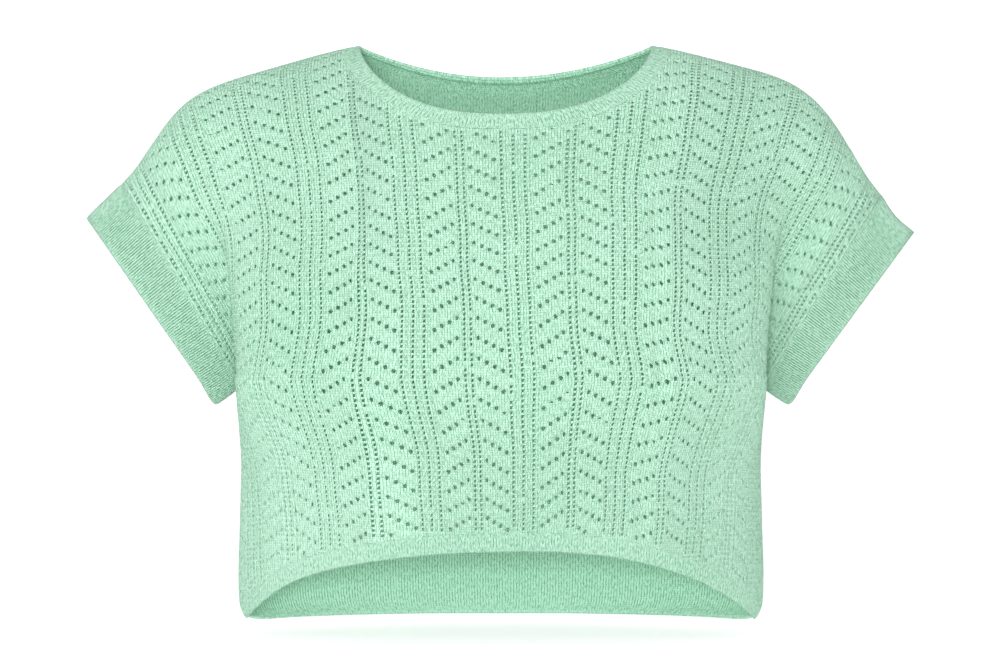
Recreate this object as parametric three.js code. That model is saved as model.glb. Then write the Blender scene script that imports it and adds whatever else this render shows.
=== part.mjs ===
// A short-sleeved crop top in machine-knitted lace, filled out as if worn and hollow inside.
//
// Frame: millimetres, +Z up, +X to the wearer's left, the chest faces -Y. The origin lies midway
// between the two neck points, at the height where the shoulders of the wearer carry the garment.
//
// The front and the back are each one piece of knitting with the sleeve grown on. They meet in the
// plane y = 0 along the shoulders, the undersides of the sleeves and the sides. Narrow ribbed bands
// finish the neck, the sleeves and the hem. Every piece is a real wall of cloth, open where the
// garment is open.

import * as THREE from 'three';

// ---- Driving dimensions -------------------------------------------------------------------------

const PANEL_WALL = 2.0;            // single lace knitting
const BAND_WALL = 2.6;             // double ribbing
const SEAM_GAP = 0.3;              // between two pieces that are joined

const BODY_LEVEL = 262;            // armpit, below the neck points
const HEM_LEVEL = 458;             // lower edge at the side seams
const CUFF_WALE = 300;             // knitted width from the centre line to the cuff seam

const NECKBAND_SIDE = 14.2;        // width of the neckband at the shoulders
const NECKBAND_DROP = 12.4;        // the same at the centre, seen from the front
const NECK_DROP = { front: 61.3, back: 22 };
const NECK_CURVE = {               // exponents of its outline as seen from the front
  front: { across: 2.4, down: 1.6 },
  back: { across: 2.0, down: 1.05 },
};

const HEM_ARCH = 60;               // how far the front hem rises at the centre
const HEM_ARCH_REACH = 201;        // where it starts to rise, from the centre
const HEM_SAG = { front: 0, back: 9 };
const HEM_CORNER = { from: 195, to: 207, rise: 4 };  // the side corners are rounded off
const HEM_BAND = { front: 14.5, back: 59 };

// Horizontal sections of the body, by level below the neck points. The depths are measured from the
// seam plane, squareness is the exponent of the outline.
const BODY = [
  { level: 0, halfWidth: 245, front: 108, back: 97, squareness: 2.1 },
  { level: 120, halfWidth: 234, front: 108, back: 100, squareness: 2.1 },
  { level: 205, halfWidth: 215, front: 113, back: 98, squareness: 2.1 },
  { level: 262, halfWidth: 208, front: 109, back: 95, squareness: 2.1 },
  { level: 320, halfWidth: 207, front: 100, back: 90, squareness: 2.0 },
  { level: 380, halfWidth: 208.5, front: 88, back: 82, squareness: 1.9 },
  { level: 425, halfWidth: 209.5, front: 79, back: 76, squareness: 1.85 },
  { level: 480, halfWidth: 205.5, front: 71, back: 71, squareness: 1.8 },
];

// The armhole, by course: 0 is the shoulder seam and 1 the armpit. Edge is where the body turns
// away, at that width and depth. There the cloth tucks in behind the body by so much, over so much
// of the depth, and turns back out into the sleeve. Fold is 0 where the shoulder runs on smoothly.
const ARMHOLE = [
  { course: 0.0, edge: 242, depth: 0, tuck: 0, over: 0, turn: 0, fold: 0 },
  { course: 0.1, edge: 241, depth: 13, tuck: 0, over: 0, turn: 0, fold: 0 },
  { course: 0.3, edge: 238, depth: 34, tuck: 0, over: 0, turn: 0, fold: 0 },
  { course: 0.5, edge: 231, depth: 46, tuck: 0, over: 1, turn: 1, fold: 0.08 },
  { course: 0.6, edge: 224, depth: 50, tuck: 1, over: 4, turn: 4, fold: 0.35 },
  { course: 0.7, edge: 217, depth: 51, tuck: 3, over: 9, turn: 8, fold: 0.7 },
  { course: 0.8, edge: 213, depth: 50, tuck: 6, over: 15, turn: 9, fold: 0.95 },
  { course: 0.9, edge: 209.5, depth: 47, tuck: 8, over: 23, turn: 8, fold: 1 },
  { course: 1.0, edge: 207, depth: 42, tuck: 10, over: 42, turn: 0, fold: 1 },
];
const TUCK_END = 345;              // level where the pinch below the armpit has run out
// Softening of each course above the armpit: it sets in over a part of the run to the sleeve.
const RELAX = { step: 4, passes: 6, fade: 0.12, from: 0.45, full: 0.6 };

// The two arms, one a little lower than the other. Opening: half width of the neck at the shoulder.
// Shoulder: from the neck on, its line slopes down evenly, and beyond the tip it droops. Seam and
// edge: top and bottom of the cuff seam and of the cuff's free edge, as distance from the centre and
// height.
const SLEEVES = [
  {
    name: 'right', side: -1, opening: 112, shoulder: { neck: 119, slope: 0.29, droop: 5.1e-5 },
    seam: [[303, -112], [209, -274]], edge: [[331, -139], [229, -285]],
  },
  {
    name: 'left', side: 1, opening: 119.5, shoulder: { neck: 127, slope: 0.265, droop: 8.7e-5 },
    seam: [[304, -121], [209, -274]], edge: [[330, -150], [231, -285]],
  },
];
const SHOULDER_TIP = 200;          // where the droop starts
const SHOULDER_EASE = 15;          // rounding at the neck point
const SLEEVE_DEPTH = 45;           // half depth of the sleeve at the cuff
const SLEEVE_CUP = { out: 4.2, down: 2.8 };  // the same edges draw back between top and bottom

// Knitting grid
const NECK_COLUMNS = 8;
const CHEST_COLUMNS = 2;
const ARM_COLUMNS = 13;
const SLEEVE_COLUMNS = 5;
const CHEST_WALE = 150;            // up to here the grid follows the wales, beyond it the armhole
const UPPER_ROWS = 18;
const LOWER_ROWS = 7;
const EASE_PASSES = 3;
const BAND_STRIPS = { neck: 2, cuff: 3, front: 1, back: 3 };

const COLORS = { lace: '#b1dfc4', rib: '#acdbc2' };

// ---- Small helpers ------------------------------------------------------------------------------

const clamp01 = (t) => Math.min(1, Math.max(0, t));
const mix = (a, b, t) => a + (b - a) * t;

// Smooth curve through one column of a table, flat tangents where the column turns.
function column(table, key, name) {
  const x = table.map((row) => row[key]);
  const y = table.map((row) => row[name]);
  const chord = x.slice(1).map((value, i) => (y[i + 1] - y[i]) / (value - x[i]));
  const slope = y.map((_, i) => {
    if (i === 0) return chord[0];
    if (i === y.length - 1) return chord[i - 1];
    const [before, after] = [chord[i - 1], chord[i]];
    return before * after <= 0 ? 0 : (2 * before * after) / (before + after);
  });
  return (at) => {
    if (at <= x[0]) return y[0];
    if (at >= x[x.length - 1]) return y[y.length - 1];
    const i = x.findIndex((value) => value > at) - 1;
    const h = x[i + 1] - x[i];
    const t = (at - x[i]) / h;
    const s = 1 - t;
    return y[i] * (1 + 2 * t) * s * s + y[i + 1] * (3 - 2 * t) * t * t
      + h * (slope[i] * t * s * s - slope[i + 1] * s * t * t);
  };
}

function columns(table, key) {
  const names = Object.keys(table[0]).filter((name) => name !== key);
  return Object.fromEntries(names.map((name) => [name, column(table, key, name)]));
}

const body = columns(BODY, 'level');
const armhole = columns(ARMHOLE, 'course');

// ---- The form of the garment --------------------------------------------------------------------

// Height of the shoulder line at a distance x from the centre.
function shoulderHeight(sleeve, x) {
  const { neck, slope, droop } = sleeve.shoulder;
  const run = (x - neck + Math.hypot(x - neck, SHOULDER_EASE)) / 2;
  return -slope * run - droop * Math.max(0, x - SHOULDER_TIP) ** 3;
}

// Share of the full body depth at a distance below the shoulder line.
const crown = (below) => (1 - (1 - Math.min(below / 200, 1)) ** 2) ** 0.62;

// Courses run from 0 at the shoulder seam to 1 at the armpit, and on down to the hem.
const drop = (course) => (course < 1 ? course ** 1.5 : course);
const levelOf = (course) => drop(course) * BODY_LEVEL;
const courseOf = (level) => (level < BODY_LEVEL ? (level / BODY_LEVEL) ** (1 / 1.5)
  : level / BODY_LEVEL);

// Measures of one course of the front or the back.
function section(half, course) {
  const level = levelOf(course);
  const depth = body[half](level);
  if (course <= 1) {
    return {
      width: armhole.edge(course),
      depth: depth * crown(level),
      edgeDepth: armhole.depth(course),
      tuck: armhole.tuck(course),
      over: armhole.over(course),
      roundness: mix(1.3, 1 / body.squareness(level), armhole.fold(course)),
      squareness: body.squareness(level),
    };
  }
  const pinch = clamp01((TUCK_END - level) / (TUCK_END - BODY_LEVEL));
  const ease = pinch * pinch * (3 - 2 * pinch);
  return {
    width: body.halfWidth(level),
    depth,
    edgeDepth: armhole.depth(1) * ease,
    tuck: armhole.tuck(1) * ease,
    over: armhole.depth(1) * ease,
    roundness: 1 / body.squareness(level),
    squareness: body.squareness(level),
  };
}

const facing = { front: -1, back: 1 };

// A point on the body: across runs from 0 at the centre line to 1 where the body turns away.
function bodyPoint(half, sleeve, course, across) {
  const s = section(half, course);
  const x = s.width * across;
  const rise = course < 1 ? shoulderHeight(sleeve, x) * (1 - drop(course)) : 0;
  const open = Math.max(0, 1 - across ** s.squareness) ** s.roundness;
  const depth = s.edgeDepth + (s.depth - s.edgeDepth) * open;
  return new THREE.Vector3(x, facing[half] * depth, rise - levelOf(course));
}

// The lens-shaped ring of the sleeve: around runs from 0 at the top to 1 underneath.
function sleeveRing(half, ends, around) {
  const bulge = Math.sqrt(Math.max(0, around * (1 - around))) * (2.5 - around);
  return new THREE.Vector3(
    mix(ends[0][0], ends[1][0], around) - SLEEVE_CUP.out * bulge,
    facing[half] * SLEEVE_DEPTH * bulge,
    mix(ends[0][1], ends[1][1], around) + SLEEVE_CUP.down * bulge,
  );
}

function hermite(start, startPull, end, endPull, t) {
  const s = 1 - t;
  return new THREE.Vector3()
    .addScaledVector(start, (1 + 2 * t) * s * s)
    .addScaledVector(startPull, t * s * s)
    .addScaledVector(end, (3 - 2 * t) * t * t)
    .addScaledVector(endPull, -s * t * t);
}

function lengths(points) {
  const run = [0];
  for (let i = 1; i < points.length; i += 1) {
    run.push(run[i - 1] + points[i].distanceTo(points[i - 1]));
  }
  return run;
}

function pointAt(points, run, target) {
  const next = run.findIndex((value) => value >= target - 1e-9);
  const i = Math.max(1, next < 0 ? run.length - 1 : next);
  const t = (target - run[i - 1]) / (run[i] - run[i - 1]);
  return points[i - 1].clone().lerp(points[i], t);
}

// The same line in even steps, with its turns eased: knitting holds no sharp crease.
function relaxed(points, weight) {
  const run = lengths(points);
  const total = run[run.length - 1];
  const steps = Math.round(total / RELAX.step);
  let line = Array.from({ length: steps + 1 }, (_, i) => pointAt(points, run, total * i / steps));
  for (let pass = 0; pass < RELAX.passes; pass += 1) {
    line = line.map((p, i) => {
      if (i === 0 || i === steps) return p;
      const share = clamp01((i / steps - RELAX.from) / (RELAX.full - RELAX.from));
      const between = line[i - 1].clone().add(line[i + 1]).multiplyScalar(0.5);
      return p.clone().lerp(between, weight * share);
    });
  }
  return line;
}

// One course as a line of points from the centre to the cuff seam, or to the side seam below the
// armpit, with the length run so far. The body's own part ends at the valley of the armhole.
const courseCache = new Map();
function courseLine(half, sleeve, course) {
  const key = `${half} ${sleeve.name} ${course.toFixed(6)}`;
  if (courseCache.has(key)) return courseCache.get(key);
  const s = section(half, course);
  const points = [];
  const bodySteps = 40;
  for (let i = 0; i <= bodySteps; i += 1) {
    points.push(bodyPoint(half, sleeve, course, Math.sin((Math.PI / 2) * (i / bodySteps))));
  }
  const edge = points[bodySteps];
  const tuckSteps = 10;
  for (let i = 1; i <= tuckSteps; i += 1) {
    const t = i / tuckSteps;
    const inward = s.tuck * (1 - Math.cos(Math.PI * t)) / 2;
    points.push(new THREE.Vector3(edge.x - inward, edge.y - facing[half] * s.over * t, edge.z));
  }
  const valley = points[points.length - 1];
  const valleyRun = lengths(points)[points.length - 1];
  if (course <= 1) {
    const around = course ** 2;
    const end = sleeveRing(half, sleeve.seam, around);
    const far = sleeveRing(half, sleeve.edge, around);
    const reach = valley.distanceTo(end);
    const endPull = far.clone().sub(end).normalize().multiplyScalar(reach);
    const fold = armhole.fold(course);
    const before = points[bodySteps - 4];
    const smooth = edge.clone().sub(before).normalize().multiplyScalar(reach * (1 - fold));
    const seamward = end.clone().sub(valley).multiplyScalar(fold * 0.5);
    seamward.y = -facing[half] * armhole.turn(course);
    const startPull = smooth.add(seamward);
    if (course === 1) startPull.y = 0;
    const sleeveSteps = 24;
    for (let i = 1; i <= sleeveSteps; i += 1) {
      points.push(hermite(valley, startPull, end, endPull, i / sleeveSteps));
    }
  }
  const weight = clamp01((1 - course) / RELAX.fade) / 2;
  const eased = weight > 0 ? relaxed(points, weight) : points;
  const run = lengths(eased);
  const line = { points: eased, run, total: run[run.length - 1], valleyRun };
  courseCache.set(key, line);
  return line;
}

// The wale that comes down to the armpit, counted from the centre line.
function sideWale(half, sleeve) {
  const line = courseLine(half, sleeve, 1);
  return CUFF_WALE * line.valleyRun / line.total;
}

// Towards the cuff the wales fan out a little, most of all along the shoulder.
const fan = (share, spread) => share * (1 - spread) + spread * share ** 4;
const spreadOf = (course) => 0.1 * (1 - course) ** 2;

// A point of the knitting: wale is the distance from the centre line as knitted, course as above.
function clothPoint(half, wale, course) {
  const sleeve = SLEEVES[wale < 0 ? 0 : 1];
  const line = courseLine(half, sleeve, course);
  const below = course > 1;
  const share = Math.abs(wale) / (below ? sideWale(half, sleeve) : CUFF_WALE);
  const total = below ? line.valleyRun : line.total;
  const target = Math.min(total, total * fan(share, below ? 0 : spreadOf(course)));
  const point = pointAt(line.points, line.run, target);
  point.x *= sleeve.side;
  return point;
}

// The wale that a column of the grid has reached at a course: the columns follow the armhole, so
// that its fold runs along them.
function columnWale(half, place, course) {
  const sleeve = SLEEVES[place < 0 ? 0 : 1];
  const reach = Math.abs(place);
  if (reach <= CHEST_WALE || course >= 1) return place;
  const side = sideWale(half, sleeve);
  const line = courseLine(half, sleeve, course);
  let share = line.valleyRun / line.total;
  const aim = share;
  for (let i = 0; i < 20; i += 1) share += aim - fan(share, spreadOf(course));
  const valley = CUFF_WALE * share;
  const wale = reach <= side ? mix(CHEST_WALE, valley, (reach - CHEST_WALE) / (side - CHEST_WALE))
    : mix(valley, CUFF_WALE, (reach - side) / (CUFF_WALE - side));
  return sleeve.side * wale;
}

// Outward direction of the cloth, from two directions that lie in it.
function outward(half, along, down) {
  return new THREE.Vector3().crossVectors(along, down).multiplyScalar(facing[half]).normalize();
}

// Outward direction of the sleeve's end and of the cuff that carries it on.
function cuffNormal(half, sleeve, around) {
  const start = sleeveRing(half, sleeve.seam, around);
  const direction = sleeveRing(half, sleeve.edge, around).sub(start);
  const near = 0.01;
  const before = sleeveRing(half, sleeve.seam, clamp01(around - near));
  const after = sleeveRing(half, sleeve.seam, clamp01(around + near));
  const along = after.sub(before);
  if (around < 1e-6) along.set(0, facing[half], 0);
  if (around > 1 - 1e-6) along.set(0, -facing[half], 0);
  const normal = direction.cross(along).multiplyScalar(facing[half]).normalize();
  normal.x *= sleeve.side;
  return normal;
}

function clothNormal(half, wale, course) {
  const sleeve = SLEEVES[wale < 0 ? 0 : 1];
  if (Math.abs(wale) === CUFF_WALE) return cuffNormal(half, sleeve, course ** 2);

  const reach = 1.5;
  const step = 0.006;
  const limit = course > 1 ? sideWale(half, sleeve) : CUFF_WALE;
  const left = clothPoint(half, Math.max(-limit, wale - reach), course);
  const right = clothPoint(half, Math.min(limit, wale + reach), course);
  const up = clothPoint(half, wale, Math.max(0, course - step));
  const downCourse = course <= 1 ? Math.min(1, course + step) : course + step;
  const down = clothPoint(half, wale, downCourse);
  return outward(half, right.sub(left), down.sub(up));
}

// ---- Edges of the panels ------------------------------------------------------------------------

// The edge of the neck opening (share 0) and of the panel (share 1), by angle from the shoulder.
function neckPoint(half, angle, share, gap = 0) {
  const sleeve = SLEEVES[Math.cos(angle) < 0 ? 0 : 1];
  const width = sleeve.opening + NECKBAND_SIDE * share - gap;
  const depth = NECK_DROP[half] + NECKBAND_DROP * share - gap;
  const curve = NECK_CURVE[half];
  const x = width * Math.abs(Math.cos(angle)) ** (2 / curve.across);
  const below = depth * Math.abs(Math.sin(angle)) ** (2 / curve.down);
  return surfacePoint(half, sleeve, x, below);
}

// The body surface at a distance x from the centre and a height below the shoulder line.
function surfacePoint(half, sleeve, x, below) {
  const height = shoulderHeight(sleeve, x);
  const course = courseOf(BODY_LEVEL * below / (BODY_LEVEL + height));
  const point = bodyPoint(half, sleeve, course, x / section(half, course).width);
  point.x *= sleeve.side;
  return point;
}

function neckCourse(half, wale) {
  const sleeve = SLEEVES[wale < 0 ? 0 : 1];
  const width = sleeve.opening + NECKBAND_SIDE;
  const depth = NECK_DROP[half] + NECKBAND_DROP;
  const curve = NECK_CURVE[half];
  let [high, low] = [0, 1];
  for (let i = 0; i < 40; i += 1) {
    const course = (high + low) / 2;
    const point = clothPoint(half, wale, course);
    const x = Math.abs(point.x);
    const edge = depth * (1 - clamp01(x / width) ** curve.across) ** (1 / curve.down);
    if (shoulderHeight(sleeve, x) - point.z < edge) high = course;
    else low = course;
  }
  return low;
}

// Where the shoulder seam meets the neckband.
function neckCornerWale(half, sleeve) {
  let [inner, outer] = [0, CUFF_WALE];
  for (let i = 0; i < 40; i += 1) {
    const wale = (inner + outer) / 2;
    const reach = Math.abs(clothPoint(half, sleeve.side * wale, 0).x);
    if (reach < sleeve.opening + NECKBAND_SIDE) inner = wale;
    else outer = wale;
  }
  return inner;
}

// Level of the hem at a distance x from the centre, raised by part of the band above it.
function hemLevel(half, x, raised) {
  const t = clamp01(Math.abs(x) / HEM_ARCH_REACH);
  const arch = half === 'front'
    ? HEM_ARCH * (1 - 0.42 * t ** 1.5 - 0.25 * t ** 4 - 0.33 * t ** 8) : 0;
  const corner = clamp01((Math.abs(x) - HEM_CORNER.from) / (HEM_CORNER.to - HEM_CORNER.from));
  const lowest = HEM_LEVEL - HEM_CORNER.rise * corner ** 2;
  return lowest - arch + HEM_SAG[half] * (1 - t * t) - raised;
}

function hemCourse(half, wale, raised) {
  let course = 1.5;
  for (let i = 0; i < 30; i += 1) {
    course = courseOf(hemLevel(half, clothPoint(half, wale, course).x, raised));
  }
  return course;
}

// ---- From a sheet of points to a wall of cloth --------------------------------------------------

// A sheet collects the outer points of one piece and the direction its outside faces.
class Sheet {
  constructor() {
    this.outer = [];
    this.normals = [];
    this.triangles = [];
  }

  add(point, normal, seamHalf = null) {
    const outer = point.clone();
    const facingOut = normal.clone();
    if (seamHalf) {
      outer.y = facing[seamHalf] * SEAM_GAP / 2;
      facingOut.y = 0;
    }
    this.outer.push(outer);
    this.normals.push(facingOut.normalize());
    return this.outer.length - 1;
  }

  // Corners are given counter-clockwise as seen from outside.
  quad(a, b, c, d) {
    const split = this.outer[a].distanceTo(this.outer[c]) < this.outer[b].distanceTo(this.outer[d]);
    if (split) this.triangles.push([a, b, c], [a, c, d]);
    else this.triangles.push([a, b, d], [b, c, d]);
  }

  // Joins two lines of points, upper and lower, both running the same way.
  strip(upper, lower, flip) {
    for (let i = 1; i < upper.length; i += 1) {
      if (flip) this.quad(upper[i - 1], upper[i], lower[i], lower[i - 1]);
      else this.quad(upper[i - 1], lower[i - 1], lower[i], upper[i]);
    }
  }

  // Evens out the directions, so that the inside of a tight fold does not run into itself. Those
  // of the points in held stay.
  ease(passes, held) {
    const neighbours = this.outer.map(() => new Set());
    for (const corners of this.triangles) {
      for (const a of corners) for (const b of corners) if (a !== b) neighbours[a].add(b);
    }
    for (let pass = 0; pass < passes; pass += 1) {
      this.normals = this.normals.map((normal, i) => {
        if (held.has(i)) return normal;
        const sum = normal.clone();
        for (const k of neighbours[i]) sum.addScaledVector(this.normals[k], 1 / neighbours[i].size);
        if (normal.y === 0) sum.y = 0;
        return sum.normalize();
      });
    }
  }

  // The closed wall: outside, inside and the cut edges between them. The inside of a front or a
  // back stays on its own side of the seam plane.
  wall(thickness, half = null) {
    const count = this.outer.length;
    const inner = this.outer.map((p, i) => p.clone().addScaledVector(this.normals[i], -thickness));
    if (half) {
      for (const p of inner) p.y = facing[half] * Math.max(facing[half] * p.y, SEAM_GAP / 2);
    }
    const faces = [...this.triangles];
    const edges = new Map();
    for (const [a, b, c] of this.triangles) {
      faces.push([c + count, b + count, a + count]);
      for (const [from, to] of [[a, b], [b, c], [c, a]]) edges.set(`${from} ${to}`, [from, to]);
    }
    for (const [from, to] of edges.values()) {
      if (!edges.has(`${to} ${from}`)) {
        faces.push([to, from, from + count], [to, from + count, to + count]);
      }
    }
    const geometry = new THREE.BufferGeometry();
    const positions = [...this.outer, ...inner].flatMap((p) => [p.x, p.y, p.z]);
    geometry.setAttribute('position', new THREE.Float32BufferAttribute(positions, 3));
    geometry.setIndex(faces.flat());
    geometry.computeVertexNormals();
    return geometry;
  }
}

const spaced = (from, to, count) => Array.from({ length: count }, (_, i) => (
  mix(from, to, (i + 1) / count)));

// The wales at which a panel is worked out, from the right cuff to the left one, each with the part
// of the panel it lies in. Those at the neck crowd towards its corner.
function waleLines(half) {
  const [right, left] = SLEEVES.map((sleeve) => {
    const corner = neckCornerWale(half, sleeve);
    const armpit = sideWale(half, sleeve);
    const place = (wales, zone) => wales.map((wale) => ({ wale: sleeve.side * wale, zone }));
    const neck = spaced(0, 1, NECK_COLUMNS).map((t) => corner * Math.sin((Math.PI / 2) * t));
    return [
      ...place(neck.slice(0, -1), 'neck'),
      ...place([corner], 'corner'),
      ...place([...spaced(corner, CHEST_WALE, CHEST_COLUMNS),
        ...spaced(CHEST_WALE, armpit, ARM_COLUMNS).slice(0, -1)], 'body'),
      ...place([armpit], 'armpit'),
      ...place(spaced(armpit, CUFF_WALE, SLEEVE_COLUMNS), 'sleeve'),
    ];
  });
  return [...right.reverse(), { wale: 0, zone: 'neck' }, ...left];
}

const rowShare = (i, rows) => Math.sin((Math.PI / 2) * (i / rows));

// ---- Front and back -----------------------------------------------------------------------------

function panel(half) {
  const lines = waleLines(half);
  const sheet = new Sheet();
  const flip = half === 'back';

  const rows = [];
  for (let i = 0; i <= UPPER_ROWS; i += 1) {
    rows.push(lines.map(({ wale: place, zone }) => {
      const top = zone === 'neck' ? neckCourse(half, place) : 0;
      const course = mix(top, 1, rowShare(i, UPPER_ROWS));
      const wale = columnWale(half, place, course);
      const underarm = i === UPPER_ROWS && (zone === 'armpit' || zone === 'sleeve');
      const onSeam = (i === 0 && zone !== 'neck') || underarm;
      let normal = clothNormal(half, wale, course);
      if (underarm && zone === 'armpit') normal = new THREE.Vector3(0, 0, -1);
      else if (underarm) normal = clothNormal(half, Math.sign(wale) * CUFF_WALE, 1);
      return sheet.add(clothPoint(half, wale, course), normal, onSeam ? half : null);
    }));
    if (i > 0) sheet.strip(rows[i - 1], rows[i], flip);
  }

  const onBody = lines.map(({ zone }) => zone !== 'sleeve');
  const bodyWales = lines.filter((_, i) => onBody[i]).map(({ wale }) => wale);
  let above = rows[UPPER_ROWS].filter((_, i) => onBody[i]);
  for (let i = 1; i <= LOWER_ROWS; i += 1) {
    const line = bodyWales.map((wale, k) => {
      const course = mix(1, hemCourse(half, wale, HEM_BAND[half]), i / LOWER_ROWS);
      const onSeam = k === 0 || k === bodyWales.length - 1;
      return sheet.add(clothPoint(half, wale, course), clothNormal(half, wale, course),
        onSeam ? half : null);
    });
    sheet.strip(above, line, flip);
    above = line;
  }
  sheet.ease(EASE_PASSES, new Set(rows.flatMap((row) => [row[0], row[row.length - 1]])));
  return sheet.wall(PANEL_WALL, half);
}

// ---- Bands --------------------------------------------------------------------------------------

// The ribbed strip along the hem of the front or the back, on from the panel's lower edge.
function hemBand(half) {
  const sheet = new Sheet();
  const strips = BAND_STRIPS[half];
  const bodyWales = waleLines(half).filter(({ zone }) => zone !== 'sleeve').map(({ wale }) => wale);
  let above = null;
  for (let i = 0; i <= strips; i += 1) {
    const raised = mix(HEM_BAND[half] - SEAM_GAP, 0, i / strips);
    const line = bodyWales.map((wale, k) => {
      const course = hemCourse(half, wale, raised);
      const onSeam = k === 0 || k === bodyWales.length - 1;
      return sheet.add(clothPoint(half, wale, course), clothNormal(half, wale, course),
        onSeam ? half : null);
    });
    if (above) sheet.strip(above, line, half === 'back');
    above = line;
  }
  return sheet.wall(BAND_WALL, half);
}

// The neckband, one ring through the shoulder points, in line with the wales of both panels.
function neckband() {
  const stations = [];
  for (const half of ['front', 'back']) {
    const edge = waleLines(half).filter(({ zone }) => zone === 'neck' || zone === 'corner');
    const angles = edge.map(({ wale, zone }) => {
      const course = zone === 'neck' ? neckCourse(half, wale) : 0;
      const width = SLEEVES[wale < 0 ? 0 : 1].opening + NECKBAND_SIDE;
      const share = clamp01(Math.abs(clothPoint(half, wale, course).x) / width);
      const turn = zone === 'neck' ? Math.acos(share ** (NECK_CURVE[half].across / 2)) : 0;
      return wale < 0 ? Math.PI - turn : turn;
    });
    const ordered = half === 'front' ? angles : angles.reverse();
    stations.push(...ordered.slice(0, -1).map((angle) => ({ half, angle })));
  }
  const sheet = new Sheet();
  const strips = BAND_STRIPS.neck;
  const lines = [];
  for (let i = 0; i <= strips; i += 1) {
    lines.push(stations.map(({ half, angle }) => {
      const share = 1 - i / strips;
      const gap = i === 0 ? SEAM_GAP : 0;
      const point = neckPoint(half, angle, share, gap);
      const atShoulder = Math.abs(Math.sin(angle)) < 1e-6;
      if (atShoulder) return sheet.add(point, new THREE.Vector3(0.29 * Math.sign(point.x), 0, 1));
      const near = 0.02;
      const along = neckPoint(half, angle - near, share).sub(neckPoint(half, angle + near, share));
      const across = neckPoint(half, angle, share + near).sub(neckPoint(half, angle, share - near));
      return sheet.add(point, outward(half, along, across));
    }));
  }
  for (let i = 1; i <= strips; i += 1) {
    const close = (line) => [...line, line[0]];
    sheet.strip(close(lines[i]), close(lines[i - 1]), false);
  }
  return sheet.wall(BAND_WALL);
}

// A cuff, one ring from the sleeve's end to the free edge.
function cuff(sleeve) {
  const turns = Array.from({ length: UPPER_ROWS + 1 }, (_, i) => rowShare(i, UPPER_ROWS) ** 2);
  const stations = [
    ...turns.slice(0, -1).map((around) => ({ half: 'front', around })),
    ...turns.slice(1).reverse().map((around) => ({ half: 'back', around })),
  ];
  const sheet = new Sheet();
  const strips = BAND_STRIPS.cuff;
  const lines = [];
  for (let i = 0; i <= strips; i += 1) {
    lines.push(stations.map(({ half, around }) => {
      const start = sleeveRing(half, sleeve.seam, around);
      const direction = sleeveRing(half, sleeve.edge, around).sub(start);
      const gap = SEAM_GAP / direction.length();
      const point = start.addScaledVector(direction, mix(gap, 1, i / strips));
      point.x *= sleeve.side;
      return sheet.add(point, cuffNormal(half, sleeve, around));
    }));
  }
  for (let i = 1; i <= strips; i += 1) {
    const close = (line) => [...line, line[0]];
    sheet.strip(close(lines[i - 1]), close(lines[i]), sleeve.side > 0);
  }
  return sheet.wall(BAND_WALL);
}

// ---- The garment --------------------------------------------------------------------------------

const garment = new THREE.Group();

function piece(name, geometry, color) {
  const material = new THREE.MeshStandardMaterial({ color, roughness: 0.9, metalness: 0 });
  const mesh = new THREE.Mesh(geometry, material);
  mesh.name = name;
  garment.add(mesh);
}

piece('front_panel', panel('front'), COLORS.lace);
piece('back_panel', panel('back'), COLORS.lace);
piece('neckband', neckband(), COLORS.rib);
for (const sleeve of SLEEVES) piece(`cuff_${sleeve.name}`, cuff(sleeve), COLORS.rib);
piece('hem_band_front', hemBand('front'), COLORS.rib);
piece('hem_band_back', hemBand('back'), COLORS.rib);

export default garment;
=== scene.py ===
import bpy
import numpy as np
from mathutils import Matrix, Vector


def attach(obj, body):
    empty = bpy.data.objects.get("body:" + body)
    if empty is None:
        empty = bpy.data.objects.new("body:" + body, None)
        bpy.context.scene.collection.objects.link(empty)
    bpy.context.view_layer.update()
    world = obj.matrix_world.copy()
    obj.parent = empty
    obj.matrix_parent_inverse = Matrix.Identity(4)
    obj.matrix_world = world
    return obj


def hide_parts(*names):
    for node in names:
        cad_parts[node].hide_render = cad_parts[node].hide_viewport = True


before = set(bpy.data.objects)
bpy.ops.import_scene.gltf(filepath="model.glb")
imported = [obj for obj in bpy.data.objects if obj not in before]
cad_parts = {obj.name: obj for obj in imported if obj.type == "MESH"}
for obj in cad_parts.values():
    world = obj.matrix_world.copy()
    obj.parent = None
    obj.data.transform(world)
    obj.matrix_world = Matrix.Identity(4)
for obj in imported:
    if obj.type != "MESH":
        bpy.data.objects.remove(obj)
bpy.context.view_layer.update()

# ---- Camera -------------------------------------------------------------------------------------
# A longish lens, level and straight on, at the height of the middle of the body. The garment
# fills most of the width of the frame.
CAMERA_PLACE = (0.0024, -1.9, -0.2328)
camera_data = bpy.data.cameras.new("camera")
camera_data.lens = 85
camera_data.sensor_width = 36
camera_data.clip_end = 50
camera = bpy.data.objects.new("camera", camera_data)
camera.location = CAMERA_PLACE
camera.rotation_euler = (np.pi / 2, 0, 0)
bpy.context.scene.collection.objects.link(camera)
bpy.context.scene.camera = camera

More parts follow.
